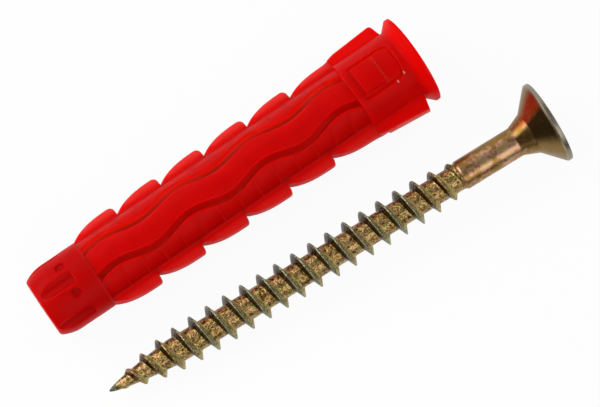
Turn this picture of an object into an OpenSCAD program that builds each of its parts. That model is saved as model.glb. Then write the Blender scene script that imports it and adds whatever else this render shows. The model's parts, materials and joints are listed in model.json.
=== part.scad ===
// Universal plastic wall plug with its countersunk wood screw lying beside it.
// Row frame: the origin is the centre of the collar's outer face, +X runs along the plug's axis
// out of the wall, and +Z is up. The screw lies on the surface that carries the plug's rim and nose.
// Stations along the plug are measured from its nose end, and along the screw from its point.

/* [Plug] */
// Overall length of the plug
plug_len = 61.2; // [58:0.1:70]
// Diameter of the body, which is the drilled hole's diameter
body_d = 10; // [9.6:0.1:11]

/* [Nose] */
// Length of the closed ring at the nose
nose_len = 8.4; // [7.6:0.1:10]
// Diameter at the very end of the nose
nose_end_d = 8.5; // [7.8:0.1:9]
// Length of the nose's rounded lead-in
nose_lead = 3; // [2:0.1:3.5]
// Bevel of the nose's outer edge
nose_bevel = 0.3; // [0.2:0.05:0.4]
// Diameter of the hole through the nose
nose_hole_d = 3.2; // [2.4:0.1:3.3]
// Turn from the middle flute of the front or back to the flutes beside it
flute_turn = 65; // [60:1:68]
// Width of a flute
flute_w = 2; // [1.6:0.1:2.2]
// Depth of a flute and of a dimple
flute_depth = 0.55; // [0.4:0.05:0.6]
// Length of a flute from the nose end to its flat end
flute_len = 5.7; // [5:0.1:6.2]
// Turn from the middle flute to the dimples beside it
dimple_turn = 25; // [23:1:38]
// Diameter of the dimples between the flutes
dimple_d = 1.35; // [0.9:0.05:1.5]
// Distance from the nose end to the dimples' centres
dimple_at = 4.85; // [4.6:0.05:5.1]

/* [Expansion segments] */
// Width of the front and back segments
ribbon_w = 3.28; // [3:0.02:3.5]
// Width of the wavy slots between the segments
slot_w = 0.91; // [0.8:0.01:1.1]
// Height of the slots' wave from its middle line
wave_height = 0.54; // [0.3:0.01:0.6]
// Length of one wave
wave_len = 12.13; // [8:0.01:16]
// How far the screw's tunnel reaches past the front and back segments' edges
tunnel_reach = 0.2; // [0.1:0.05:0.4]
// How far the side segments' skin lies under the body's diameter
flank_recess = 0.22; // [0.1:0.01:0.4]
// Spacing of the fine cross ribs on the side segments
rib_pitch = 3.09; // [2.5:0.01:5]
// Width of a cross rib
rib_w = 0.22; // [0.15:0.01:0.4]
// Height of a cross rib
rib_h = 0.12; // [0.06:0.01:0.2]
// Plain length between the nose ring and the first cross rib
rib_start = 3.2; // [1:0.1:4]
// Plain length between the last cross rib and the sleeve, at least
rib_stop = 2; // [1:0.1:4]
// Slit that stands for the moulded living hinges between the moving members
hinge_slit = 0.3; // [0.3:0.01:0.5]

/* [Side fins] */
// Number of fin teeth along each side
tooth_count = 6; // [4:2:8]
// How far a tooth's tip stands out of the body
tooth_reach = 1.45; // [1:0.05:1.8]
// Fin's thickness where it leaves the body
fin_root_t = 2.2; // [1.8:0.1:2.6]
// Fin's thickness at its edge
fin_edge_t = 1.1; // [0.8:0.1:1.5]
// How far the sleeve's fin stands out of the body where the sleeve starts
sleeve_fin_start = 1.7; // [1.5:0.05:1.8]
// How far the sleeve's fin stands out of the body at its collar end
sleeve_fin_reach = 2.35; // [1.9:0.05:2.4]
// Axial length of the slope at the sleeve fin's collar end
sleeve_fin_slope = 0.5; // [0.4:0.1:1]
// Gap between the sleeve's fins and the collar's cone
sleeve_fin_gap = 0.2; // [0.1:0.1:1]

/* [Sleeve and collar] */
// Length of the closed sleeve between the segments and the collar
sleeve_len = 8.35; // [8.2:0.05:10]
// How far the sleeve's skin stands out of the body
sleeve_step = 0.3; // [0.2:0.01:0.4]
// Diametral clearance between the screw's thread and the sleeve's bore
bore_clearance = 0.1; // [0.05:0.01:0.3]
// Diameter of the collar's rim
collar_d = 12.9; // [12.4:0.1:15]
// Axial length of the collar's cone
collar_cone = 1.15; // [1:0.05:1.6]
// Thickness of the collar's rim
rim_t = 0.5; // [0.4:0.05:0.8]

/* [Locking tongues] */
// Width of the windows that hold the tongues
window_w = 5.35; // [5:0.05:5.6]
// Length of the windows
window_len = 6.3; // [6:0.1:6.6]
// Plain band between the sleeve's start and the windows
window_inset = 0.9; // [0.8:0.1:1.5]
// Width of a tongue
tongue_w = 4.2; // [3.8:0.05:4.5]
// Slit around a tongue's free end
tongue_slit = 0.3; // [0.2:0.05:0.4]
// Corner radius of a tongue's free end
tongue_corner = 1; // [0.5:0.1:1.5]
// Length of the raised pad on a tongue
pad_len = 3.4; // [2.5:0.1:4]
// Height of the raised pad on a tongue
pad_h = 0.3; // [0.1:0.05:0.5]
// Inset of the pad from the tongue's sides
pad_inset = 0.1; // [0.05:0.05:0.4]

/* [Screw] */
// Overall length of the screw
screw_len = 70; // [66:0.5:80]
// Outer diameter of the thread
thread_d = 6.1; // [5.6:0.05:6.4]
// Diameter of the threaded core
core_d = 3.7; // [3.4:0.05:4]
// Diameter of the smooth shank
shank_d = 4.26; // [4.1:0.02:5]
// Distance from one turn of the thread to the next
thread_pitch = 2.72; // [2.2:0.01:3.2]
// Distance from the screw's point to the end of the thread
thread_end = 55.8; // [45:0.1:58]
// Length of the core's pointed part
point_len = 9.9; // [8:0.1:12]
// Length over which the thread grows to its full height
entry_len = 16; // [12:0.5:18]
// Distance from the point to the first whole crest, on the side that faces the plug
first_crest = 3.05; // [2.9:0.05:4]
// Width of the thread where it leaves the core
thread_base = 1.15; // [0.9:0.05:1.4]
// Width of the thread's edge
thread_edge = 0.22; // [0.1:0.02:0.4]
// Diameter of the countersunk head
head_d = 12; // [11:0.1:13]
// Axial length of the head's cone
head_cone = 2.7; // [2.2:0.1:3.4]
// Height of the head's upright rim
head_rim = 0.6; // [0.4:0.05:0.9]
// Length of the neck's cone under the head
neck_len = 2.2; // [1.5:0.1:3]
// Diameter of the neck where it meets the head
neck_d = 6.1; // [5.6:0.1:6.6]

/* [Drive recess] */
// Length of the cross recess from tip to tip at the head's face
recess_span = 6.4; // [5.5:0.1:7]
// Depth of the cross recess
recess_depth = 3.2; // [2.5:0.1:3.6]
// Length of the cross recess at its bottom
recess_floor = 2.6; // [2:0.1:3.4]
// Width of a wing of the recess
recess_wing = 1.1; // [0.9:0.05:1.4]

/* [Layout] */
// Free space between the collar's rim and the screw's head
side_gap = 5.6; // [3:0.05:15]
// How far the screw's head stands past the collar's face
head_lead = 9.9; // [5:0.1:15]
// Turn of the screw on the surface, away from parallel with the plug
screw_yaw = -3.23; // [-6:0.01:2]

/* [Hidden] */
$fn = 96;
PLASTIC = "#d7140f";
PLATED = "#8d7a33";
THREAD_FACES = 30;
WAVE_STEPS = 24;
EDGE_STEPS = 10;
OVERLAP = 1;
// Exponents of the curves: a larger one rises sooner and has a longer level crest
TOOTH_CURVE = 3.3;
THREAD_CURVE = 2.7;
// Exponents of the core's point and of the thread's end: under 1 they are blunt
POINT_CURVE = 0.6;
RUN_OUT_CURVE = 0.4;

body_r = body_d / 2;
flank_r = body_r - flank_recess;
sleeve_r = body_r + sleeve_step;
collar_r = collar_d / 2;
thread_r = thread_d / 2;
core_r = core_d / 2;
head_r = head_d / 2;
bore_r = thread_r + bore_clearance / 2;
tunnel_r = ribbon_w / 2 + wave_height + tunnel_reach;

// Stations from the nose end
collar_start = plug_len - rim_t - collar_cone;
neck = collar_start - sleeve_len;
elbow = (nose_len + neck) / 2;
window_start = neck + window_inset;
window_end = window_start + window_len;
tooth_pitch = (neck - nose_len) / tooth_count;
first_rib = nose_len + rib_start;
last_rib = neck - rib_stop;
nose_end_r = nose_end_d / 2;
nose_mid_r = body_r - (body_r - nose_end_r) / 4;
flute_floor = body_r - flute_depth;
flute_r = (flute_w ^ 2 / 4 + flute_depth ^ 2) / (2 * flute_depth);
sleeve_fin_end = collar_start - sleeve_fin_gap;

// Middle line of the wavy slots, the same for all four
function wave(s) = wave_height * sin(360 * (s - nose_len) / wave_len);

// Share of a tooth's reach at a share u of its length: a quick rise, a long crest
function tooth_rise(u) = 1 - pow(1 - u, TOOTH_CURVE);

// A round bar about the plug's axis
module bar(from, to, r) {
    translate([from, 0, 0]) rotate([0, 90, 0]) cylinder(h = to - from, r = r);
}

// A solid of revolution about X from [station, radius] points
module turned(profile) {
    rotate([0, 90, 0]) rotate_extrude() polygon([for (p = profile) [p[1], p[0]]]);
}

// A wavy strip in plan, between two distances from the slots' middle line
module wavy_strip(from, to, near, far) {
    step = (to - from) / WAVE_STEPS;
    stations = [for (i = [0 : WAVE_STEPS]) from + i * step];
    near_edge = [for (s = stations) [s, near + wave(s)]];
    far_edge = [for (i = [WAVE_STEPS : -1 : 0]) [stations[i], far + wave(stations[i])]];
    polygon(concat(near_edge, far_edge));
}

// One link of the front (side 1) or back (side -1) segment, cut vertically by the slots
module ribbon_link(from, to, side) {
    difference() {
        intersection() {
            bar(from, to, body_r);
            translate([0, 0, side * body_r])
                linear_extrude(2 * body_r, center = true)
                    wavy_strip(from - OVERLAP, to + OVERLAP, -ribbon_w / 2, ribbon_w / 2);
        }
        bar(from - OVERLAP, to + OVERLAP, tunnel_r);
    }
}

// The fine cross ribs between two stations
module cross_ribs(from, to) {
    for (s = [first_rib : rib_pitch : last_rib])
        if (s > from + rib_w && s < to - rib_w)
            bar(s - rib_w / 2, s + rib_w / 2, flank_r + rib_h);
}

// Outline of one tooth in plan: it rises from its notch towards the collar and ends upright
function tooth_edge(start) = [for (i = [0 : EDGE_STEPS])
    let (u = i / EDGE_STEPS)
    [start + u * tooth_pitch, body_r + tooth_reach * tooth_rise(u)]];

// The fin's taper as seen along the plug, out to a given radius
module fin_section(reach) {
    polygon([
        [0, -fin_root_t / 2], [body_r, -fin_root_t / 2], [reach, -fin_edge_t / 2],
        [reach, fin_edge_t / 2], [body_r, fin_root_t / 2], [0, fin_root_t / 2]]);
}

// A fin with the given plan, tapered towards its edge
module fin(from, to, plan, reach) {
    intersection() {
        linear_extrude(2 * fin_root_t, center = true) polygon(plan);
        translate([from - OVERLAP, 0, 0]) rotate([90, 0, 90])
            linear_extrude(to - from + 2 * OVERLAP) fin_section(reach);
    }
}

// The teeth of one link of a side segment
module toothed_fin(from, to) {
    inner = body_r - tooth_reach;
    first = round((from - nose_len) / tooth_pitch);
    last = round((to - nose_len) / tooth_pitch) - 1;
    start = nose_len + first * tooth_pitch;
    end = nose_len + (last + 1) * tooth_pitch;
    teeth = [for (k = [first : last]) each tooth_edge(nose_len + k * tooth_pitch)];
    plan = concat([[start, inner]], teeth, [[end, inner]]);
    intersection() {
        fin(from, to, plan, body_r + tooth_reach);
        bar(from, to, body_r + 2 * tooth_reach);
    }
}

// One link of the left (side 1) or right (side -1) segment, with its ribs and fin teeth
module flank_link(from, to, side) {
    slot_edge = ribbon_w / 2 + slot_w;
    difference() {
        union() {
            intersection() {
                union() {
                    bar(from, to, flank_r);
                    cross_ribs(from, to);
                }
                linear_extrude(2 * body_r, center = true)
                    mirror([0, side < 0 ? 1 : 0, 0])
                        flank_plan(from, to, slot_edge, side);
            }
            mirror([0, side < 0 ? 1 : 0, 0]) toothed_fin(from, to);
        }
        bar(from - OVERLAP, to + OVERLAP, tunnel_r);
    }
}

// The side segments' plan: one wavy edge on the slot, one straight edge outside the body
module flank_plan(from, to, slot_edge, side) {
    step = (to - from + 2 * OVERLAP) / WAVE_STEPS;
    stations = [for (i = [0 : WAVE_STEPS]) from - OVERLAP + i * step];
    edge = [for (s = stations) [s, slot_edge + side * wave(s)]];
    polygon(concat([[from - OVERLAP, 2 * body_r]], edge, [[to + OVERLAP, 2 * body_r]]));
}

// The front or back segment's two links, from the neck to the elbow and on to the nose
module ribbon_upper(side) {
    ribbon_link(elbow + hinge_slit / 2, neck - hinge_slit, side);
}

module ribbon_lower(side) {
    ribbon_link(nose_len + hinge_slit, elbow - hinge_slit / 2, side);
}

module flank_upper(side) {
    flank_link(elbow + hinge_slit / 2, neck - hinge_slit, side);
}

module flank_lower(side) {
    flank_link(nose_len + hinge_slit, elbow - hinge_slit / 2, side);
}

module on_row() {
    translate([-plug_len, 0, 0]) children();
}

module nose_ring() {
    color(PLASTIC) on_row() difference() {
        turned([[0, nose_hole_d / 2], [0, nose_end_r - nose_bevel], [nose_bevel, nose_end_r],
            [nose_lead / 2, nose_mid_r], [nose_lead, body_r], [nose_len, body_r],
            [nose_len, nose_hole_d / 2]]);
        for (face = [0, 180]) {
            for (turn = [-flute_turn, 0, flute_turn])
                rotate([face + turn, 0, 0]) flute();
            for (turn = [-dimple_turn, dimple_turn])
                rotate([face + turn, 0, 0])
                    translate([dimple_at, 0, flute_floor]) cylinder(h = body_r, d = dimple_d);
        }
    }
}

// A round-bottomed flute that fades out where the lead-in drops under its floor
module flute() {
    translate([-OVERLAP, 0, flute_floor + flute_r]) rotate([0, 90, 0])
        cylinder(h = flute_len + OVERLAP, r = flute_r);
}

// Plan of a window, or of a tongue when it is narrower and shorter, with a rounded free end
module tongue_plan(from, to, width, corner) {
    translate([from, -width / 2]) square([to - from - corner, width]);
    translate([to - corner - OVERLAP, -width / 2 + corner]) square([corner + OVERLAP, width - 2 * corner]);
    for (y = [-1, 1])
        translate([to - corner, y * (width / 2 - corner)]) circle(r = corner);
}

module sleeve_fins() {
    inner = body_r - tooth_reach;
    crest_end = sleeve_fin_end - sleeve_fin_slope;
    plan = [[neck, inner], [neck, body_r + sleeve_fin_start], [crest_end, body_r + sleeve_fin_reach],
        [sleeve_fin_end, sleeve_r], [sleeve_fin_end, inner]];
    for (side = [0, 1])
        mirror([0, side, 0]) fin(neck, sleeve_fin_end, plan, body_r + sleeve_fin_reach);
}

module collar_sleeve() {
    color(PLASTIC) on_row() difference() {
        union() {
            turned([[neck, 0], [neck, sleeve_r], [collar_start, sleeve_r],
                [collar_start + collar_cone, collar_r], [plug_len, collar_r], [plug_len, 0]]);
            sleeve_fins();
        }
        bar(neck - OVERLAP, plug_len + OVERLAP, bore_r);
        linear_extrude(4 * collar_r, center = true)
            tongue_plan(window_start, window_end, window_w, tongue_corner + tongue_slit);
    }
}

// A tongue hinged at the window's nose end, with a raised pad next to its hinge
module tongue() {
    root = window_start + hinge_slit;
    tip = window_end - tongue_slit;
    color(PLASTIC) on_row() difference() {
        union() {
            intersection() {
                bar(root, tip, sleeve_r);
                linear_extrude(2 * sleeve_r) tongue_plan(root, tip, tongue_w, tongue_corner);
            }
            intersection() {
                bar(root, root + pad_len, sleeve_r + pad_h);
                translate([root, -tongue_w / 2 + pad_inset, 0])
                    cube([pad_len, tongue_w - 2 * pad_inset, 2 * sleeve_r]);
            }
        }
        bar(window_start - OVERLAP, window_end + OVERLAP, bore_r);
    }
}

// Stations from the screw's point
neck_top = screw_len - head_rim - head_cone;
neck_start = neck_top - neck_len;
helix_start = first_crest - thread_base / 2 - 2 * thread_pitch;
turns = ceil((thread_end - helix_start) / thread_pitch);
run_out = 3 * thread_pitch;
shank_start = thread_end - 0.1;
thread_seat = 0.75 * entry_len;

// Radius of the pointed core
function core_at(s) = core_r * pow(min(s, point_len) / point_len, POINT_CURVE);

// Radius of the thread's edge: it grows behind the point and fades out at the shank
function edge_at(s) =
    let (grown = thread_r * (1 - pow(1 - min(s, entry_len) / entry_len, THREAD_CURVE)))
    let (kept = pow(min(max((thread_end - s) / run_out, 0), 1), RUN_OUT_CURVE))
    core_at(s) + max(grown - core_at(s), 0) * kept;

// Across the thread's section: how far along the screw, and whether it is at the edge
SECTION = [[0, false], [(thread_base - thread_edge) / 2, true],
    [(thread_base + thread_edge) / 2, true], [thread_base, false]];

// Stations keep their order, but the first turn is squeezed into the point
// and the last one into the shank
squeeze = 20;
squeeze_before = 0.3;
squeeze_after = thread_end + 0.2;
function squeezed(s) =
    let (into_point = squeeze_before + (s - squeeze_before) / squeeze)
    let (into_shank = squeeze_after + (s - squeeze_after) / squeeze)
    min(max(s, into_point), into_shank);

// Point i of column j of the thread's skin; each turn has the section's four points
function skin_point(j, i) =
    let (turn = floor(i / len(SECTION)) + j / THREAD_FACES)
    let (part = SECTION[i % len(SECTION)])
    let (s = squeezed(helix_start + turn * thread_pitch + part[0]))
    let (r = part[1] ? edge_at(s) : core_at(s))
    [s, r * cos(360 * j / THREAD_FACES), r * sin(360 * j / THREAD_FACES)];

// The pointed core and its right-handed thread as one skin. The column after the last one
// is the first, one turn on, so each end of the skin has a step that a small fan fills.
module threaded_core() {
    n = THREAD_FACES;
    turn = len(SECTION);
    rows = turn * (turns + 1);
    last = rows - 1;
    point = n * rows;
    hub = point + 1;
    skin = [for (j = [0 : n - 1]) for (i = [0 : last]) skin_point(j, i)];
    ends = [[0, 0, 0], [thread_end + OVERLAP, 0, 0]];
    between = [for (j = [0 : n - 2]) for (i = [0 : last - 1])
        let (a = j * rows + i, b = a + rows)
        each [[a, a + 1, b], [b, a + 1, b + 1]]];
    seam = [for (i = [0 : last - turn - 1])
        let (a = (n - 1) * rows + i, b = i + turn)
        each [[a, a + 1, b], [b, a + 1, b + 1]]];
    point_fan = [for (j = [0 : n - 2]) [point, j * rows, (j + 1) * rows]];
    hub_fan = [for (j = [0 : n - 2]) [hub, (j + 1) * rows + last, j * rows + last]];
    low_corner = (n - 1) * rows;
    low_step = [for (i = [0 : turn - 1]) [low_corner, i + 1, i]];
    high_step = [for (i = [last - turn : last - 1]) [last, low_corner + i, low_corner + i + 1]];
    polyhedron(
        points = concat(skin, ends),
        faces = concat(between, seam, point_fan, hub_fan, low_step, high_step,
            [[point, low_corner, 0], [hub, last, low_corner + last]]));
}

// One wing of the cross recess, narrowing with depth
module recess_wing_cut() {
    rotate([90, 0, 0]) linear_extrude(recess_wing, center = true) polygon([
        [screw_len + OVERLAP, -recess_span / 2], [screw_len, -recess_span / 2],
        [screw_len - recess_depth, -recess_floor / 2], [screw_len - recess_depth, recess_floor / 2],
        [screw_len, recess_span / 2], [screw_len + OVERLAP, recess_span / 2]]);
}

// The smooth shank, the neck and the countersunk head with its cross recess
module shank_and_head() {
    difference() {
        turned([[shank_start, 0], [shank_start, shank_d / 2], [neck_start, shank_d / 2],
            [neck_top, neck_d / 2], [screw_len - head_rim, head_r], [screw_len, head_r], [screw_len, 0]]);
        for (turn = [45, 135]) rotate([turn, 0, 0]) recess_wing_cut();
    }
}

// Lays the screw on the surface under the plug: on its head's rim and on the thread near its point
module beside_plug() {
    plug_tilt = atan((collar_r - body_r) / (plug_len - rim_t - nose_lead));
    tilt = atan((head_r - edge_at(thread_seat)) / (screw_len - head_rim - thread_seat));
    axis_height = head_rim * sin(tilt) + head_r * cos(tilt);
    translate([-rim_t, 0, -collar_r]) rotate([0, plug_tilt, 0])
        translate([rim_t + head_lead, -collar_r - side_gap - head_r, axis_height])
            rotate([0, 0, screw_yaw]) rotate([0, -tilt, 0])
                translate([-screw_len, 0, 0]) children();
}

module screw() {
    color(PLATED) beside_plug() union() {
        shank_and_head();
        threaded_core();
    }
}

module front_segment_upper() { color(PLASTIC) on_row() ribbon_upper(1); }
module front_segment_lower() { color(PLASTIC) on_row() ribbon_lower(1); }
module back_segment_upper() { color(PLASTIC) on_row() ribbon_upper(-1); }
module back_segment_lower() { color(PLASTIC) on_row() ribbon_lower(-1); }
module left_segment_upper() { color(PLASTIC) on_row() flank_upper(1); }
module left_segment_lower() { color(PLASTIC) on_row() flank_lower(1); }
module right_segment_upper() { color(PLASTIC) on_row() flank_upper(-1); }
module right_segment_lower() { color(PLASTIC) on_row() flank_lower(-1); }
module front_tongue() { tongue(); }
module back_tongue() { rotate([180, 0, 0]) tongue(); }

collar_sleeve();
nose_ring();
front_segment_upper();
front_segment_lower();
back_segment_upper();
back_segment_lower();
left_segment_upper();
left_segment_lower();
right_segment_upper();
right_segment_lower();
front_tongue();
back_tongue();
screw();
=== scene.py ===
# %% [markdown]
# # A plastic wall plug and its wood screw
# The object is a red moulded expansion plug with a yellow-plated countersunk screw beside it.
# The CAD model gives every piece its place and size. Here each piece gets the soft edges, mould
# marks and finish of the real one. The model is loaded first, because all places come from it.

# %% The CAD model
import json
import math

import bmesh
import bpy
from mathutils import Matrix, Vector
from mathutils.bvhtree import BVHTree


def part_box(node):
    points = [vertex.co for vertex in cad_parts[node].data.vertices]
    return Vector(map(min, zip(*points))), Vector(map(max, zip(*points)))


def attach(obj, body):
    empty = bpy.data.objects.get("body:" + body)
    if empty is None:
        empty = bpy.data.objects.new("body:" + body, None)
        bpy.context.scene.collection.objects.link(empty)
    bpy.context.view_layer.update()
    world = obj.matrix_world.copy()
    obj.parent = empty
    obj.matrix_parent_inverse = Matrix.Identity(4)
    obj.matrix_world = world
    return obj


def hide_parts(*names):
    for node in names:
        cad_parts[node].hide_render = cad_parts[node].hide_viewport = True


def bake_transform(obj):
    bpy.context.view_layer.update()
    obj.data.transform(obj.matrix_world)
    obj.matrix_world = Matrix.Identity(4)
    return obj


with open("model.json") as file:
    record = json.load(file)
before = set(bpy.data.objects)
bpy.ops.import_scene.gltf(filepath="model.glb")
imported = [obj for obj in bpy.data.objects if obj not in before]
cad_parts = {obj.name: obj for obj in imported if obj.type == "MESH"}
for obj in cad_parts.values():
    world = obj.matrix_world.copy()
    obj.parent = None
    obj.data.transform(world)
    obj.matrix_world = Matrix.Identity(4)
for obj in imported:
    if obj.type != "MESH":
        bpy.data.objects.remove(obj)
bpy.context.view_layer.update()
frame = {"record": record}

MM = 0.001
nose_low, nose_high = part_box("nose_ring")
sleeve_low, sleeve_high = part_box("collar_sleeve")
screw_low, screw_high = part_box("screw")
print("plug runs from", round(nose_low[0] / MM, 2), "to", round(sleeve_high[0] / MM, 2), "mm in x")
print("screw runs from", round(screw_low[0] / MM, 2), "to", round(screw_high[0] / MM, 2), "mm in x")

# %% [markdown]
# ## Where things show in the photograph
# A few points read off the picture settle the camera, and place the small marks that only this
# script adds. They are all in the picture's own frame, 600 wide and 407 high.

# %% Image points
PHOTO_W = 600
PHOTO_H = 407
IMAGE_POINTS = {
    "plug_left": (26, None),
    "screw_right": (572, None),
    "plug_top": (None, 19),
    "screw_bottom": (None, 391),
    "screw_point": (109.6, 391),
    "collar_rim_low": (439.9, 98),
    "head_rim_high": (525, 84),
    "pad_near_low": (366.8, 94.7),
    "pad_far_high": (370.2, 55.9),
    "slot_start": (100.3, 280.4),
    "dimple": (76.7, 293.2),
    "burr_small": (404, 72.4),
    "burr_bright": (398, 81.3),
}
print(len(IMAGE_POINTS), "image points")

# %% [markdown]
# ## The camera
# The photographer stood well back and looked down steeply. Far off means a long lens, so the
# camera is described as a person would: what it aims at, from which side, how high, how far away
# and how it leans. It is aimed by its own three axes, so no helper and no shift is needed.

# %% Camera
aim_point = Vector((-24.42, -8.04, 0)) * MM
camera_side = math.radians(-19.72)
camera_height = math.radians(72.83)
camera_lean = math.radians(-15.25)
camera_distance = 450 * MM
SENSOR = 36
LENS = 198.5


def camera_axes():
    """Right, up and backward directions of the camera."""
    backward = Vector((math.sin(camera_side) * math.cos(camera_height),
                       -math.cos(camera_side) * math.cos(camera_height),
                       math.sin(camera_height)))
    level = Vector((0, 0, 1)).cross(backward).normalized()
    above = backward.cross(level)
    right = math.cos(camera_lean) * level + math.sin(camera_lean) * above
    up = backward.cross(right)
    return right, up, backward


camera_data = bpy.data.cameras.new("camera")
camera_data.sensor_fit = "AUTO"
camera_data.sensor_width = SENSOR
camera_data.lens = LENS
camera_data.clip_start = 0.01
camera = bpy.data.objects.new("camera", camera_data)
bpy.context.collection.objects.link(camera)
bpy.context.scene.camera = camera
right, up, backward = camera_axes()
camera.matrix_world = Matrix.Translation(aim_point + backward * camera_distance) @ Matrix(
    (right, up, backward)).transposed().to_4x4()
print("camera looks from", [round(c / MM) for c in camera.matrix_world.translation], "mm")

# %% [markdown]
# The same lens sums work both ways. A point in space is thrown onto the picture to see where it
# shows, and a point in the picture becomes a ray that meets the finished surface.

# %% From space to picture and back
LONG_SIDE = max(PHOTO_W, PHOTO_H)


def shown_at(point):
    """Where a point of the model shows in the picture."""
    local = camera.matrix_world.inverted() @ Vector(point)
    reach = LONG_SIDE * LENS / SENSOR / -local.z
    return PHOTO_W / 2 + local.x * reach, PHOTO_H / 2 - local.y * reach


def surface_at(name, pieces):
    """The place and normal on the pieces where the named image point falls."""
    x, y = IMAGE_POINTS[name]
    ray = Vector((x - PHOTO_W / 2, PHOTO_H / 2 - y, -LONG_SIDE * LENS / SENSOR))
    start = camera.matrix_world.translation
    toward = (camera.matrix_world.to_3x3() @ ray).normalized()
    best = None
    for piece in pieces:
        tree = BVHTree.FromObject(piece, bpy.context.evaluated_depsgraph_get())
        place, normal, _, distance = tree.ray_cast(start, toward)
        if place is None:
            along = start + toward * (aim_point - start).length
            place, normal, _, distance = tree.find_nearest(along)
            distance += camera_distance
        if best is None or distance < best[2]:
            best = (place, normal, distance)
    return best[0], best[1]


print("aim point shows at", [round(c, 1) for c in shown_at(aim_point)])

# %% [markdown]
# ## Sums with sockets
# Both the materials and the Geometry Nodes trees need a lot of arithmetic. A small class wraps a
# socket, so that a line of plain maths adds the Math nodes for it.

# %% The wire class
class Wire:
    """An output socket that can be used in sums."""

    def __init__(self, nodes, socket):
        self.nodes = nodes
        self.socket = socket

    def __add__(self, other):
        return self.nodes.maths("ADD", self, other)

    def __radd__(self, other):
        return self.nodes.maths("ADD", other, self)

    def __sub__(self, other):
        return self.nodes.maths("SUBTRACT", self, other)

    def __rsub__(self, other):
        return self.nodes.maths("SUBTRACT", other, self)

    def __mul__(self, other):
        return self.nodes.maths("MULTIPLY", self, other)

    def __rmul__(self, other):
        return self.nodes.maths("MULTIPLY", other, self)

    def __truediv__(self, other):
        return self.nodes.maths("DIVIDE", self, other)

    def __rtruediv__(self, other):
        return self.nodes.maths("DIVIDE", other, self)

    def __pow__(self, other):
        return self.nodes.maths("POWER", self, other)

    def at_least(self, other):
        return self.nodes.maths("MAXIMUM", self, other)

    def at_most(self, other):
        return self.nodes.maths("MINIMUM", self, other)

    def arccosine(self):
        return self.nodes.maths("ARCCOSINE", self)

    def size(self):
        """The value without its sign."""
        return self.nodes.maths("ABSOLUTE", self)

    def share(self):
        """The value held between 0 and 1."""
        return self.at_least(0).at_most(1)

    def sine(self):
        return self.nodes.maths("SINE", self)

    def cosine(self):
        return self.nodes.maths("COSINE", self)

    def whole(self):
        """The value rounded down."""
        return self.nodes.maths("FLOOR", self)

    def soft_step(self, low, high):
        """0 below low, 1 above high, and a smooth ramp between."""
        along = ((self - low) / (high - low)).share()
        return along * along * (3 - 2 * along)

    def other(self, name):
        """Another output of the same node."""
        return Wire(self.nodes, self.socket.node.outputs[name])


class NodeMaker:
    """Adds nodes to one tree."""

    def __init__(self, tree):
        self.tree = tree

    def join(self, value, socket):
        if isinstance(value, Wire):
            self.tree.links.new(value.socket, socket)
        else:
            socket.default_value = value

    def maths(self, operation, *values):
        return self.add("ShaderNodeMath", {"operation": operation}, dict(enumerate(values)))

    def add(self, kind, settings=None, sockets=None, output=0):
        """One node: its settings first, then its sockets by name or number."""
        node = self.tree.nodes.new(kind)
        for name, value in (settings or {}).items():
            if name == "stops":
                fill_ramp(node.color_ramp, value)
            else:
                setattr(node, name, value)
        for key, value in (sockets or {}).items():
            self.join(value, node.inputs[key])
        return Wire(self, node.outputs[output]) if node.outputs else node


def fill_ramp(colour_ramp, stops):
    """Sets a colour ramp from (position, colour) pairs."""
    while len(colour_ramp.elements) < len(stops):
        colour_ramp.elements.new(0.5)
    for element, (position, colour) in zip(colour_ramp.elements, stops):
        element.position = position
        element.color = colour


print("a wire adds, takes away, multiplies and divides")

# %% [markdown]
# ## Red nylon
# The plug is one shot of dyed nylon. It isn't opaque: light soaks in a millimetre or two, so thin
# fins and rims glow brighter than the thick body, which is what subsurface scattering does, and
# that glow is also painted into the colour. The mould left a fine spark-eroded texture, and the
# flow of the melt left faint clouds. What differs from place to place comes as attributes that the
# pieces get later: painted light that makes fins and the collar's flare a brighter red, painted
# highlights that turn thin edges, two burrs and a few edge lines almost pink, a painted red glow,
# given off as emission, on walls and ribs that light reaches through the plastic, and painted
# shade that makes the nose a deeper red.

# %% Red nylon
def paint(red, green, blue):
    """An opaque screen colour, 0 to 255, as the linear colour that the shader wants."""
    return (*((part / 255) ** 2.2 for part in (red, green, blue)), 1)


def new_material(name):
    material = bpy.data.materials.new(name)
    material.use_nodes = True
    material.node_tree.nodes.clear()
    return material, NodeMaker(material.node_tree)


def attribute(nodes, name):
    return nodes.add("ShaderNodeAttribute", {"attribute_name": name}, output="Fac")


def blend_colours(nodes, share, first, second):
    """A colour between two: share 0 gives the first."""
    return nodes.add("ShaderNodeMix", {"data_type": "RGBA"},
                     {0: share, 6: first, 7: second}, output=2)


def clouds(nodes, place, size, detail, roughness=0.5):
    """Soft noise whose blotches are about the given size."""
    return nodes.add("ShaderNodeTexNoise", {"noise_dimensions": "3D"},
                     {"Vector": place, "Scale": 1 / size, "Detail": detail, "Roughness": roughness})


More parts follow.
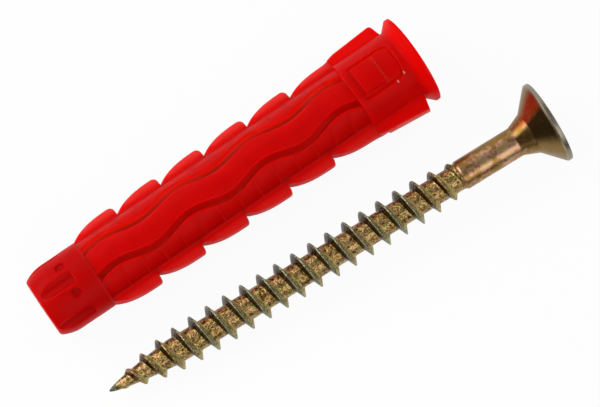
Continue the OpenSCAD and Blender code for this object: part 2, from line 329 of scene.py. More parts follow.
def red_nylon():
    material, nodes = new_material("red_nylon")
    place = nodes.add("ShaderNodeTexCoord", output="Object")
    flow = clouds(nodes, place, 2.4 * MM, 2)
    speckle = clouds(nodes, place, 0.3 * MM, 3)
    grain = clouds(nodes, place, 0.1 * MM, 2)
    # Painted light and shade: a brighter red in thin parts, pink highlights, a red glow on walls,
    # and shade on the nose.
    thinness = attribute(nodes, "thinness")
    paleness = attribute(nodes, "paleness")
    dyed = attribute(nodes, "dyed")
    shaded_red = paint(168, 3, 4)
    glow_red = paint(236, 10, 3)
    highlight_pink = paint(238, 150, 138)
    wall_glow_colour = (0.3, 0.002, 0, 1)
    flowing = (flow * 0.8 + speckle * 0.4 - 0.1).share()
    mottled = blend_colours(nodes, flowing, paint(188, 4, 3), paint(210, 7, 4))
    # Painted shade: the nose is blended towards a deeper red.
    thick = blend_colours(nodes, dyed * 0.8, mottled, shaded_red)
    body = blend_colours(nodes, thinness.share(), thick, glow_red)
    # Painted highlight: edges, burrs and lines are blended towards pink.
    colour = blend_colours(nodes, (paleness * (0.2 + 0.4 * speckle)).share(), body, highlight_pink)
    # Painted glow: a red emission that stands in for light coming through the walls.
    soaked = blend_colours(nodes, attribute(nodes, "soaked"), paint(0, 0, 0), wall_glow_colour)
    bump = nodes.add("ShaderNodeBump", {}, {"Strength": 0.22, "Distance": 0.02 * MM,
                                            "Height": grain * 0.7 + speckle * 0.6})
    shader = nodes.add("ShaderNodeBsdfPrincipled", {"subsurface_method": "RANDOM_WALK"}, {
        "Base Color": colour,
        "Roughness": 0.36 + 0.14 * speckle,
        "Normal": bump,
        "IOR": 1.5,
        "Subsurface Weight": 1,
        "Subsurface Radius": (1.0, 0.10, 0.06),
        "Subsurface Scale": 2.2 * MM,
        "Specular IOR Level": 0.05,
        "Emission Color": soaked,
        "Emission Strength": 1,
    })
    nodes.add("ShaderNodeOutputMaterial", {}, {"Surface": shader})
    return material


nylon = red_nylon()
print("material", nylon.name)

# %% [markdown]
# ## Yellow zinc
# The screw is zinc plated and then passivated in chromate. The film is thin enough to interfere
# with light, so its colour wanders between olive, gold, pink and green with its thickness, and
# noise at two sizes drives the wandering. Attributes from the geometry say where the colour differs:
# a painted highlight turns the film pinker on the side where the highlight falls, "roughcast" is on
# the rolled core, "height" runs from valley to crest, where it is worn pale, "facing_head" on the
# thread's two flanks paints reflections, dark on those towards the point and bright on those
# towards the head, and on the head "throat", "cone" and "rim", with "lean" round the axis, place
# painted dark and red reflections on the cone and throat, and a bare rim.

# %% Yellow zinc
def on_thread(nodes, film, stain, to_head):
    """The film's colour with painted reflections on the flanks, dark towards the point and bright
    towards the head, and grey crests.
    """
    to_point = (0 - attribute(nodes, "facing_head")).soft_step(0.05, 0.4)
    crest = attribute(nodes, "height").soft_step(0.78, 1) * (0.55 + 0.45 * stain)
    # Painted shade and reflection: flanks towards the point, and the point itself, turn almost
    # black.
    shaded = blend_colours(nodes, to_point * 0.92, film, paint(38, 26, 12))
    # Painted reflection: flanks towards the head turn a bright yellow where the stain allows.
    ridge = blend_colours(nodes, to_head * (stain * 4 - 1.4).share(), shaded, paint(210, 200, 136))
    return blend_colours(nodes, crest, ridge, paint(128, 138, 118))


def on_head(nodes, film):
    """The film's colour with an olive cone, painted dark and red reflections on it, and a bare rim.
    """
    lean = attribute(nodes, "lean")
    cone = attribute(nodes, "cone")
    throat = attribute(nodes, "throat")
    # Painted reflections round the axis: a dark one across the middle of the cone and throat, and a
    # red one of the plug on the cone above it.
    above = (lean + throat * 0.22).soft_step(0.06, 0.32)
    dark_reflection_share = lean.soft_step(-0.9, -0.5) * (1 - above) * 0.88
    red_reflection_share = lean.soft_step(0.06, 0.32) * (1 - lean.soft_step(0.6, 0.8)) * 0.75
    olive = blend_colours(nodes, (cone + throat * 0.35) * 0.85, film, paint(118, 96, 44))
    dark = blend_colours(nodes, (cone + throat) * dark_reflection_share, olive, paint(44, 30, 18))
    with_red_reflection = blend_colours(nodes, cone * red_reflection_share, dark, paint(178, 54, 16))
    return blend_colours(nodes, attribute(nodes, "rim"), with_red_reflection, paint(138, 132, 116))


def yellow_zinc():
    material, nodes = new_material("chromated_zinc")
    place = nodes.add("ShaderNodeTexCoord", output="Object")
    film = clouds(nodes, place, 2.6 * MM, 3)
    stain = clouds(nodes, place, 0.55 * MM, 4, 0.65)
    grain = clouds(nodes, place, 0.16 * MM, 3)
    blister = (clouds(nodes, place, 0.42 * MM, 2) - 0.5) * attribute(nodes, "roughcast")
    # Painted highlight: the film is drawn pinker on the side where the highlight falls.
    highlight_drift = attribute(nodes, "pinkness") * 0.22
    thickness = (film * 0.8 + stain * 0.8 - 0.38 + highlight_drift + blister * 2.8).share()
    tints = nodes.add("ShaderNodeValToRGB", {"stops": (
        (0.0, paint(54, 36, 16)),
        (0.2, paint(108, 90, 34)),
        (0.4, paint(132, 105, 50)),
        (0.54, paint(146, 109, 66)),
        (0.68, paint(192, 148, 122)),
        (0.84, paint(170, 152, 86)),
        (1.0, paint(114, 112, 50)))}, {"Fac": thickness})
    to_head = attribute(nodes, "facing_head").soft_step(0.05, 0.4)
    bump = nodes.add("ShaderNodeBump", {}, {
        "Strength": 0.65, "Distance": 0.12 * MM,
        "Height": grain * 0.15 + stain * 0.2 + blister * 2})
    shader = nodes.add("ShaderNodeBsdfPrincipled", {}, {
        "Base Color": on_head(nodes, on_thread(nodes, tints, stain, to_head)),
        "Metallic": 1,
        "Roughness": 0.24 + 0.2 * stain + 0.3 * to_head,
        "Normal": bump,
    })
    nodes.add("ShaderNodeOutputMaterial", {}, {"Surface": shader})
    return material


plating = yellow_zinc()
print("material", plating.name)

# %% [markdown]
# ## Helpers for solid shapes
# Most pieces are long and change slowly along their length, so they are lofted: a ring of points
# is worked out at many stations and neighbouring rings are joined. Every piece ends up as one
# object at the origin, closed, with its faces outwards.

# %% Lofts and closed meshes
def add_object(name, data):
    piece = bpy.data.objects.new(name, data)
    bpy.context.collection.objects.link(piece)
    return piece


def solid(name, rings, capped):
    """A closed mesh through rings of equally many points: capped, or joined from end to start."""
    around = len(rings[0])
    points = [point for ring in rings for point in ring]
    faces = []
    for k in range(len(rings) - 1 if capped else len(rings)):
        low = k * around
        high = (k + 1) % len(rings) * around
        for i in range(around):
            j = (i + 1) % around
            faces.append((low + i, low + j, high + j, high + i))
    if capped:
        faces.append(tuple(reversed(range(around))))
        faces.append(tuple(range(len(points) - around, len(points))))
    mesh = bpy.data.meshes.new(name)
    mesh.from_pydata(points, [], faces)
    piece = add_object(name, mesh)
    close_up(piece)
    return piece


def loft(name, rings):
    """A closed solid through rings, with a flat cap on each end."""
    return solid(name, rings, capped=True)


def close_up(piece):
    """Merges doubles, drops empty faces and turns the faces outwards."""
    apart = 0.0005 * MM
    work = bmesh.new()
    work.from_mesh(piece.data)
    bmesh.ops.remove_doubles(work, verts=work.verts, dist=apart)
    bmesh.ops.dissolve_degenerate(work, edges=work.edges, dist=apart)
    bmesh.ops.recalc_face_normals(work, faces=work.faces)
    if work.calc_volume(signed=True) < 0:
        bmesh.ops.reverse_faces(work, faces=work.faces)
    work.to_mesh(piece.data)
    work.free()


def smooth_shading(piece, sharp_above=34):
    for face in piece.data.polygons:
        face.use_smooth = True
    piece.data.set_sharp_from_angle(angle=math.radians(sharp_above))


def rounded(corners, steps=4):
    """An outline in which each (y, z, radius) corner becomes an arc."""
    outline = []
    count = len(corners)
    for k, (y, z, radius) in enumerate(corners):
        here = Vector((y, z))
        before = (Vector(corners[k - 1][:2]) - here).normalized()
        after = (Vector(corners[(k + 1) % count][:2]) - here).normalized()
        if radius == 0:
            outline.append(tuple(here))
            continue
        half_angle = before.angle(after) / 2
        run = radius / math.tan(half_angle)
        centre = here + (before + after).normalized() * radius / math.sin(half_angle)
        first = here + before * run - centre
        last = here + after * run - centre
        for step in range(steps + 1):
            mixed = first.lerp(last, step / steps)
            outline.append(tuple(centre + mixed.normalized() * radius))
    return outline


def store(piece, name, values):
    """Keeps one number per vertex, which a material can read."""
    layer = piece.data.attributes.get(name) or piece.data.attributes.new(name, "FLOAT", "POINT")
    layer.data.foreach_set("value", values)


def mark(piece, name, value_at):
    """Keeps the number that value_at gives for the place of each vertex."""
    store(piece, name, [value_at(vertex.co) for vertex in piece.data.vertices])


def report(piece):
    """Prints a piece's size, its triangles and whether it is closed."""
    work = bmesh.new()
    work.from_mesh(piece.data)
    open_edges = sum(1 for edge in work.edges if len(edge.link_faces) != 2)
    triangles = sum(len(face.verts) - 2 for face in work.faces)
    volume = work.calc_volume(signed=True) / MM ** 3
    work.free()
    print(f"{piece.name}: {triangles} triangles, {volume:.1f} mm3, {open_edges} open edges")


print("loft, close_up, rounded, mark and report are ready")

# %% [markdown]
# ## The plug's measures
# Stations are measured along x. The nose, the neck and the collar come from the model's own boxes,
# and what a box can't say, such as the wave of the slots, is repeated from the part's values.

# %% Measures
nose_end = nose_low[0]
nose_top = nose_high[0]
neck = sleeve_low[0]
body_r = nose_high[1]
sleeve_r = 5.3 * MM
flank_r = 4.78 * MM
ribbon_r = 4.95 * MM
tunnel_r = 2.41 * MM
bore_r = 3.1 * MM
ribbon_w = 3.28 * MM
slot_edge = ribbon_w / 2 + 0.91 * MM
ribbon_shift = 0.14 * MM
wave_height = 0.54 * MM
wave_len = 12.13 * MM
buried = 0.25 * MM
soft_edge = 0.17 * MM
outside = 8 * MM


def wave(x):
    """How far the slots' middle line lies off centre."""
    return wave_height * math.sin(2 * math.pi * (x - nose_top) / wave_len)


def stations(start, end, spacing):
    count = round((end - start) / spacing)
    return [start + (end - start) * k / count for k in range(count + 1)]


print("segments run from", round(nose_top / MM, 2), "to", round(neck / MM, 2), "mm")

# %% [markdown]
# ## Front and back segments
# Between two wavy slots lies a wavy ribbon: a slice of the body's round skin outside, the screw's
# tunnel inside, and upright walls along the slots. A loft suits it, because each cross-section is
# the same shape slid sideways. The ends are buried a little in the nose and the sleeve, where the
# real plastic simply carries on.

# %% Front and back segments
def ribbon_ring(x, face):
    """Cross-section of the front (face 1) or back (face -1) segment."""
    low = wave(x) - ribbon_w / 2 - ribbon_shift
    high = low + ribbon_w
    across = [low + (high - low) * k / 12 for k in range(13)]
    skin = [(y, math.sqrt(ribbon_r ** 2 - y ** 2), 0) for y in across]
    skin[0] = (*skin[0][:2], soft_edge)
    skin[-1] = (*skin[-1][:2], soft_edge)
    tunnel = [(y, math.sqrt(tunnel_r ** 2 - y ** 2), 0) for y in reversed(across)]
    return [(x, y, face * z) for y, z in rounded(skin + tunnel)]


segments = {}


def add_segment(name, ring, side):
    """Lofts one segment through its rings, buried a little at both ends."""
    stretch = stations(nose_top - buried, neck + buried, 0.3 * MM)
    segments[name] = loft(name, [ring(x, side) for x in stretch])
    smooth_shading(segments[name])
    report(segments[name])


add_segment("front_segment", ribbon_ring, 1)
add_segment("back_segment", ribbon_ring, -1)

# %% [markdown]
# ## Side segments
# The side segments are what the slots leave over: a wavy wall along each slot, and the round
# skin between, a little lower than the ribbon's. Their inner wall follows the tunnel, where the
# wave brings the segment that far in.

# %% Side segments
def flank_ring(x, side):
    """Cross-section of the left (side 1) or right (side -1) segment, without its fin."""
    edge = slot_edge + side * wave(x)
    top = math.sqrt(flank_r ** 2 - edge ** 2)
    reach = math.atan2(top, edge)
    turns = [reach * (1 - k / 14) for k in range(29)]
    skin = [(flank_r * math.cos(t), flank_r * math.sin(t), 0) for t in turns]
    skin[0] = (*skin[0][:2], soft_edge)
    skin[-1] = (*skin[-1][:2], soft_edge)
    heights = [top * (k / 12 - 1) for k in range(1, 24)]
    hollow = [math.sqrt(max(tunnel_r ** 2 - z ** 2, 0)) for z in heights]
    wall = [(max(edge, y), z, 0) for y, z in zip(hollow, heights)]
    return [(x, side * y, z) for y, z in rounded(skin + wall)]


add_segment("left_segment", flank_ring, 1)
add_segment("right_segment", flank_ring, -1)

# %% [markdown]
# ## Geometry Nodes without clicking
# What repeats is made by Geometry Nodes: fin teeth, cross ribs, the nose's flutes and the screw's
# thread. Each tree gets named inputs, and ends by realizing its instances and setting the
# material. Its result is turned into a plain mesh.

# %% Helpers for trees
class GeometryTree(NodeMaker):
    """A Geometry Nodes group with named inputs."""

    def __init__(self, name):
        super().__init__(bpy.data.node_groups.new(name, "GeometryNodeTree"))
        self.tree.interface.new_socket("Geometry", in_out="OUTPUT", socket_type="NodeSocketGeometry")
        self.group_input = self.tree.nodes.new("NodeGroupInput")

    def input(self, name, kind="Float"):
        self.tree.interface.new_socket(name, in_out="INPUT", socket_type="NodeSocket" + kind)
        return Wire(self, self.group_input.outputs[name])

    def inputs(self, *names):
        return [self.input(name) for name in names]

    def vector(self, x=0.0, y=0.0, z=0.0):
        return self.add("ShaderNodeCombineXYZ", {}, {0: x, 1: y, 2: z})

    def finish(self, geometry, material):
        """Realizes the instances, sets the material and ends the tree."""
        plain = self.add("GeometryNodeRealizeInstances", {}, {"Geometry": geometry})
        dressed = self.add("GeometryNodeSetMaterial", {}, {"Geometry": plain, "Material": material})
        self.tree.links.new(dressed.socket, self.tree.nodes.new("NodeGroupOutput").inputs[0])


def grow(name, group, values):
    """Runs a tree with the given inputs and returns its result as a plain object."""
    holder = add_object(name + "_holder", bpy.data.meshes.new(name + "_holder"))
    modifier = holder.modifiers.new("grow", "NODES")
    modifier.node_group = group.tree
    for item in group.tree.interface.items_tree:
        if item.in_out == "INPUT":
            modifier[item.identifier] = values[item.name]
    scene_state = bpy.context.evaluated_depsgraph_get()
    mesh = bpy.data.meshes.new_from_object(holder.evaluated_get(scene_state))
    bpy.data.objects.remove(holder)
    mesh.name = name
    return add_object(name, mesh)


print("a tree can be built, fed and turned into a mesh")

# %% [markdown]
# ## Fin teeth
# Each side carries six teeth in a row. A tooth rises quickly, runs level, and ends in a steep face
# towards the collar, so that it digs in when the plug is pulled. It gets thinner towards its edge
# and flares where it leaves the skin. One tooth is lofted, and a tree repeats it along the side.
# The sixth has no steep face: it rises on into the fin of the sleeve, so it is its own piece.

# %% One tooth
TOOTH_COUNT = 6
tooth_pitch = (neck - nose_top) / TOOTH_COUNT
tooth_reach = 1.45 * MM
fin_root = 1.1 * MM
fin_edge = 0.55 * MM
fin_fillet = 0.7 * MM
fin_depth = 4.1 * MM
fin_foot = 1.7 * MM
highlight_width = 0.25 * MM
TOOTH_CURVE = 3.3
tooth_slant = 0.05 * MM
last_notch = neck - tooth_pitch
last_tooth_end = 1.56 * MM


def fin_ring(x, reach, side, full_reach=tooth_reach):
    """Cross-section of a fin that stands out to the given reach beyond the body."""
    outer = body_r + reach
    thickness = fin_root + (fin_edge - fin_root) * reach / full_reach
    centre_z = fin_root + fin_fillet
    centre_y = math.sqrt((flank_r + fin_fillet) ** 2 - centre_z ** 2)
    skin_turn = math.atan2(centre_z, centre_y)
    rise = [(fin_depth, fin_foot, 0)]
    for k in range(7):
        turn = math.pi + skin_turn + (math.pi / 2 - skin_turn) * k / 6
        y = centre_y + fin_fillet * math.cos(turn)
        rise.append((min(y, outer - 0.25 * MM), centre_z + fin_fillet * math.sin(turn), 0))
    edge = [(outer, thickness, 0.2 * MM), (outer, -thickness, 0.2 * MM)]
    fall = [(y, -z, 0) for y, z, _ in reversed(rise)]
    return [(x, side * y, z) for y, z in rounded(rise + edge + fall)]


def tooth_rise(reach, end):
    """Stations and reaches from a tooth's notch up to its crest, as far as the end."""
    steps = [k / 18 * end for k in range(19)]
    return [(x, reach * (1 - (1 - x / tooth_pitch) ** TOOTH_CURVE)) for x in steps]


def tooth_outline(reach, corner):
    """A tooth that ends in a rounded corner and a steep face."""
    crest_end = tooth_pitch - tooth_slant - corner
    outline = tooth_rise(reach, crest_end)
    top = outline[-1][1]
    for k in range(1, 7):
        turn = math.pi / 2 * k / 6
        outline.append((crest_end + corner * math.sin(turn),
                        top - corner * (1 - math.cos(turn))))
    outline.append((tooth_pitch, 0))
    return outline


def painted_edge_highlights(piece, most, end):
    """Marks the points near a fin's thin edge, up to an end, with a painted highlight for the nylon.
    """
    spots = [(round(vertex.co.x, 4), abs(vertex.co.y) if vertex.co.x < end else 0)
             for vertex in piece.data.vertices]
    outermost = {}
    for x, reach in spots:
        outermost[x] = max(outermost.get(x, body_r + MM), reach)
    store(piece, "paleness", [most * max(1 - (outermost[x] - reach) / highlight_width, 0)
                              for x, reach in spots])


teeth = {}
for name, side, reach, corner in (("left", 1, 1.57, 0.8), ("right", -1, 1.4, 0.5)):
    outline = tooth_outline(reach * MM, corner * MM)
    teeth[name] = loft(name + "_tooth", [fin_ring(x, high, side) for x, high in outline])
for name, side, reach, slope in (("left", 1, 1.36, 0.8), ("right", -1, 1.42, 1.6)):
    outline = tooth_rise(reach * MM, tooth_pitch - slope * MM)
    outline.append((tooth_pitch + buried, last_tooth_end))
    segments[name + "_last_tooth"] = loft(name + "_last_tooth", [
        fin_ring(last_notch + x, high, side) for x, high in outline])
for piece in (*teeth.values(), segments["left_last_tooth"], segments["right_last_tooth"]):
    smooth_shading(piece)
    # Painted highlights on the thin fin edges, stronger on the left teeth, which face the light.
    painted_edge_highlights(piece, 0.2 if "right" in piece.name else 0.7, tooth_pitch)
    report(piece)

# %% Rows of teeth
def tooth_row_tree():
    tree = GeometryTree("row_of_teeth")
    tooth = tree.input("Tooth", "Object")
    count = tree.input("Count", "Int")
    start, pitch = tree.inputs("Start", "Pitch")
    material = tree.input("Material", "Material")
    shape = tree.add("GeometryNodeObjectInfo", {}, {"Object": tooth}, output="Geometry")
    line = tree.add("GeometryNodeMeshLine", {}, {
        "Count": count, "Start Location": tree.vector(start), "Offset": tree.vector(pitch)})
    row = tree.add("GeometryNodeInstanceOnPoints", {}, {"Points": line, "Instance": shape})
    tree.finish(row, material)
    return tree


tooth_row = tooth_row_tree()
for name in ("left", "right"):
    tooth = teeth[name]
    row = grow(name + "_fin_teeth", tooth_row, {
        "Tooth": tooth, "Count": TOOTH_COUNT - 1, "Start": nose_top, "Pitch": tooth_pitch,
        "Material": nylon})
    segments[row.name] = row
    report(row)
    bpy.data.objects.remove(tooth)

# %% [markdown]
# ## Cross ribs
# Fine ribs run round the side segments from the slots to the fin. They start where the wavy slot
# happens to be, so copying one rib wouldn't do. Instead each rib is a thread of points whose
# places the tree works out with the same wave as the slots, and a round bead is swept along it.

# %% Cross ribs
rib_pitch = 3.09 * MM
first_rib = nose_top + 3.2 * MM
rib_bead = 0.13 * MM
rib_root_turn = 0.25
RIB_COUNT = int((neck - 2 * MM - first_rib) / rib_pitch) + 1


def rib_tree():
    tree = GeometryTree("cross_ribs")
    count = tree.input("Count", "Int")
    first, pitch, bead, radius = tree.inputs("First", "Pitch", "Bead radius", "Skin radius")
    edge, height, length = tree.inputs("Slot edge", "Wave height", "Wave length")
    start, side = tree.inputs("Wave start", "Side")
    material = tree.input("Material", "Material")
    line = tree.add("GeometryNodeMeshLine", {}, {
        "Count": count, "Start Location": tree.vector(first), "Offset": tree.vector(pitch)})
    strand = tree.add("GeometryNodeCurvePrimitiveLine", {}, {"End": (0, 0, 1)})
    strand = tree.add("GeometryNodeResampleCurve", {}, {"Curve": strand, "Count": 22})
    strands = tree.add("GeometryNodeInstanceOnPoints", {}, {"Points": line, "Instance": strand})
    strands = tree.add("GeometryNodeRealizeInstances", {}, {"Geometry": strands})
    bead_ring = tree.add("GeometryNodeCurvePrimitiveCircle", {}, {"Resolution": 10, "Radius": bead})
    ribs = tree.tree.nodes.new("GeometryNodeJoinGeometry")
    for face in (1, -1):
        x = tree.add("ShaderNodeSeparateXYZ", {}, {0: tree.add("GeometryNodeInputPosition")})
        along = x.other("Z")
        slot = edge + side * height * (2 * math.pi * (x - start) / length).sine() + 1.2 * bead
        slot_turn = (slot / radius).arccosine()
        turn = rib_root_turn + along * (slot_turn - rib_root_turn)
        place = tree.vector(x, side * radius * turn.cosine(), face * radius * turn.sine())
        bent = tree.add("GeometryNodeSetPosition", {}, {"Geometry": strands, "Position": place})
        swept = tree.add("GeometryNodeCurveToMesh", {}, {
            "Curve": bent, "Profile Curve": bead_ring, "Fill Caps": True})
        tree.join(swept, ribs.inputs[0])
    tree.finish(Wire(tree, ribs.outputs[0]), material)
    return tree


rib_maker = rib_tree()
for name, side in (("left", 1), ("right", -1)):
    ribs = grow(name + "_cross_ribs", rib_maker, {
        "Count": RIB_COUNT, "First": first_rib, "Pitch": rib_pitch, "Bead radius": rib_bead,
        "Skin radius": flank_r - 0.05 * MM, "Slot edge": slot_edge, "Wave height": wave_height,
        "Wave length": wave_len, "Wave start": nose_top, "Side": side, "Material": nylon})
    close_up(ribs)
    smooth_shading(ribs, 60)
    # Painted red glow on the ribs: 0.2 on the left, 0.4 on the right.
    mark(ribs, "soaked", lambda place: 0.3 - 0.1 * side)
    segments[ribs.name] = ribs
    report(ribs)

# %% [markdown]
# ## Sleeve, nose and tongues
# These are turned shapes with windows, flutes and fins, and every edge on them is soft. They are
# blocked out with lathes, prisms and booleans. Then a voxel remesh turns the block-out into an
# even skin, and smoothing that skin rounds all the edges at once, as a worn mould does.

# %% Block-out helpers
def lathe(name, profile, around=160):
    """A solid of revolution about x. Its (station, radius) points start and end on the axis or go
    round a ring's wall."""
    turns = [2 * math.pi * k / around for k in range(around)]
    rings = [[(station, radius * math.cos(turn), radius * math.sin(turn)) for turn in turns]
             for station, radius in profile]
    return solid(name, rings, capped=False)


def prism(name, plan, low, high):
    """A closed solid that stands on a plan of (x, y) points, from low to high."""
    return loft(name, [[(x, y, z) for x, y in plan] for z in (low, high)])


def combine(piece, tool, operation):
    """Joins or cuts with a tool, which is used up."""
    modifier = piece.modifiers.new("combine", "BOOLEAN")
    modifier.operation = operation
    modifier.solver = "EXACT"
    modifier.object = tool
    make_plain(piece)
    bpy.data.objects.remove(tool)


def make_plain(piece):
    """Turns a piece and its modifiers into a plain mesh."""
    scene_state = bpy.context.evaluated_depsgraph_get()
    mesh = bpy.data.meshes.new_from_object(piece.evaluated_get(scene_state))
    piece.modifiers.clear()
    piece.data = mesh


def soften(piece, voxel, passes):
    """Even skin and rounded edges."""
    remesh = piece.modifiers.new("even_skin", "REMESH")
    remesh.mode = "VOXEL"
    remesh.voxel_size = voxel
    remesh.use_smooth_shade = True
    smooth = piece.modifiers.new("round_edges", "SMOOTH")
    smooth.factor = 0.5
    smooth.iterations = passes
    make_plain(piece)


def arc_points(centre_x, centre_y, radius, start, end, steps=10):
    turns = [start + (end - start) * k / steps for k in range(steps + 1)]
    return [(centre_x + radius * math.cos(t), centre_y + radius * math.sin(t)) for t in turns]


def tongue_plan(start, end, width, corner):
    """A strip along x whose far end has rounded corners."""
    low = arc_points(end - corner, corner - width / 2, corner, -math.pi / 2, 0)
    high = arc_points(end - corner, width / 2 - corner, corner, 0, math.pi / 2)
    return [(start, -width / 2)] + low + high + [(start, width / 2)]


voxel = 0.1 * MM
fine_voxel = 0.07 * MM
print("lathe, prism, combine and soften are ready")

# %% The sleeve with its collar
collar_start = -1.8 * MM
rim_start = -0.5 * MM
collar_r = sleeve_high[2] + 0.13 * MM
window_start = neck + 0.9 * MM
window_end = window_start + 6.3 * MM
window_w = 5.35 * MM
window_corner = 1.3 * MM
fin_end = collar_start - 0.2 * MM
fin_corner = 0.4 * MM
sleeve_fin_reach = 2.35 * MM
SLIT_AT = 1.25 * MM


def sleeve_fin_outline(side):
    """Reaches along the sleeve's fin. The right one has a fine slit near its start."""
    if side > 0:
        return [(neck, 1.58 * MM), (neck + 1.2 * MM, 1.9 * MM),
                (fin_end - 2 * fin_corner, sleeve_fin_reach),
                (fin_end - 1.3 * fin_corner, sleeve_fin_reach - 0.05 * MM),
                (fin_end - 0.8 * fin_corner, sleeve_fin_reach - 0.2 * MM),
                (fin_end - 0.6 * fin_corner, sleeve_fin_reach - 0.45 * MM),
                (fin_end + 0.1 * MM, 0.3 * MM)]
    slit = neck + SLIT_AT
    return [(neck, 1.56 * MM), (slit - 0.12 * MM, 1.6 * MM), (slit - 0.08 * MM, 1.35 * MM),
            (slit + 0.08 * MM, 1.35 * MM), (slit + 0.12 * MM, 1.86 * MM),
            (fin_end - fin_corner, sleeve_fin_reach + 0.2 * MM), (fin_end + 0.15 * MM, 0.3 * MM)]


def bowed_front(piece):
    """Draws the sleeve's front edge towards the nose where it faces up or down."""
    for vertex in piece.data.vertices:
        if vertex.co.x < neck + 0.05 * MM:
            vertex.co.x -= 0.35 * MM * min(abs(vertex.co.z) / sleeve_r, 1) ** 2


sleeve = lathe("collar_sleeve_skin", [
    (neck, bore_r), (neck, sleeve_r), (collar_start, sleeve_r), (rim_start, collar_r),
    (0, collar_r), (0, bore_r)])
bowed_front(sleeve)
for side in (1, -1):
    outline = sleeve_fin_outline(side)
    fin = loft("sleeve_fin", [fin_ring(x, high, side, sleeve_fin_reach) for x, high in outline])
    combine(sleeve, fin, "UNION")
window = prism("window", tongue_plan(window_start, window_end, window_w, window_corner),
               -outside, outside)
combine(sleeve, window, "DIFFERENCE")
bore = lathe("bore", [(neck - MM, 0), (neck - MM, bore_r), (MM, bore_r), (MM, 0)])
combine(sleeve, bore, "DIFFERENCE")
soften(sleeve, voxel, 4)
report(sleeve)

# %% The tongues
pad_len = 3.4 * MM
pad_w = 4.0 * MM
pad_r = sleeve_r + 0.3 * MM
tongue_w = 4.6 * MM
tongue_corner = 1.0 * MM
tongue_tip = window_end - 0.17 * MM
tongue_root = window_start + 0.3 * MM


def tongue(name, face):
    """A springy tongue with its raised pad."""
    start = window_start - buried
    strip = lathe(name, [(start, bore_r), (start, sleeve_r), (tongue_tip, sleeve_r),
                         (tongue_tip, bore_r)])
    plan = tongue_plan(start - MM, tongue_tip, tongue_w, tongue_corner)
    low, high = sorted((face * outside, 0))
    combine(strip, prism("tongue_cut", plan, low, high), "INTERSECT")
    pad = lathe("pad", [(tongue_root, bore_r + MM), (tongue_root, pad_r),
                        (tongue_root + pad_len, pad_r), (tongue_root + pad_len, bore_r + MM)])
    pad_plan = [(start, -pad_w / 2), (0, -pad_w / 2), (0, pad_w / 2), (start, pad_w / 2)]
    combine(pad, prism("pad_cut", pad_plan, low, high), "INTERSECT")
    combine(strip, pad, "UNION")
    soften(strip, fine_voxel, 3)
    report(strip)
    return strip


front_tongue = tongue("front_tongue_skin", 1)
back_tongue = tongue("back_tongue_skin", -1)

# %% [markdown]
# ## The nose
# The nose is a closed ring with a rounded lead-in. On the front, three flutes run back from its
# end with two dimples between them, and the back is the same. A tree turns the cutters into place.

# %% The nose
flute_turn = math.radians(65)
dimple_turn = math.radians(25)
flute_end = nose_end + 5.65 * MM
flute_floor = 4.45 * MM
flute_cut_r = 1.2 * MM
dimple_d = 1.35 * MM
dimple_floor = 4.72 * MM
dimple_x = nose_end + 4.85 * MM
nose_end_r = 4.35 * MM
nose_r = body_r + 0.12 * MM
nose_lead = 3 * MM
nose_hole_r = 1.6 * MM


def round_the_axis_tree():
    tree = GeometryTree("round_the_axis")
    shape = tree.input("Cutter", "Object")
    count = tree.input("Count on each face", "Int")
    spread = tree.input("Turn between")
    material = tree.input("Material", "Material")
    cutter = tree.add("GeometryNodeObjectInfo", {}, {"Object": shape}, output="Geometry")
    line = tree.add("GeometryNodeMeshLine", {}, {"Count": count * 2, "Offset": (0, 0, 0)})
    number = tree.add("GeometryNodeInputIndex")
    face = (number / count).whole()
    angle = (number - face * count - (count - 1) / 2) * spread + face * math.pi
    ring = tree.add("GeometryNodeInstanceOnPoints", {}, {
        "Points": line, "Instance": cutter, "Rotation": tree.vector(angle)})
    tree.finish(ring, material)
    return tree


flute_round = arc_points(0, flute_floor + flute_cut_r, flute_cut_r, 0, 2 * math.pi * 47 / 48, 47)
dimple_plan = arc_points(dimple_x, 0, dimple_d / 2, 0, 2 * math.pi * 31 / 32, 31)
nose_profile = [(nose_end, nose_hole_r), (nose_end, nose_end_r - 0.25 * MM)]
for k in range(13):
    share = k / 12
    lift = 1 - (1 - share) ** 2
    nose_profile.append((nose_end + 0.2 * MM + share * (nose_lead - 0.2 * MM),
                         nose_end_r + (nose_r - nose_end_r) * lift))
nose_profile += [(nose_top, nose_r), (nose_top, nose_hole_r)]
nose = lathe("nose_ring_skin", nose_profile)
around_nose = round_the_axis_tree()
flute = loft("flute", [[(x, y, z) for y, z in flute_round] for x in (nose_end - MM, flute_end)])
dimple = prism("dimple", dimple_plan, dimple_floor, outside)
for one, count, spread in ((flute, 3, flute_turn), (dimple, 2, 2 * dimple_turn)):
    cutters = grow("cutters", around_nose, {
        "Cutter": one, "Count on each face": count, "Turn between": spread, "Material": nylon})
    bpy.data.objects.remove(one)
    combine(nose, cutters, "DIFFERENCE")
soften(nose, voxel, 4)
report(nose)

# %% [markdown]
# ## The screw in its own space
# The screw is made lying along x from its point, which is easy to think in. At the end it is
# carried to its place, which the model's record gives: the middle of the head's face and the
# direction of the axis.

# %% Where the screw lies
SCREW_LEN = 70 * MM
mounts = {mount["name"]: mount for mount in frame["record"]["mounts"]}
head_centre = Vector(mounts["drive_recess"]["pos_m"])
screw_axis = Vector(mounts["drive_recess"]["axis"]).normalized()
sideways = Vector((0, 0, 1)).cross(screw_axis).normalized()
upwards = screw_axis.cross(sideways)
screw_place = Matrix.Translation(head_centre - screw_axis * SCREW_LEN) @ Matrix(
    (screw_axis, sideways, upwards)).transposed().to_4x4()
print("screw point at", [round(c / MM, 2) for c in screw_place.translation], "mm")

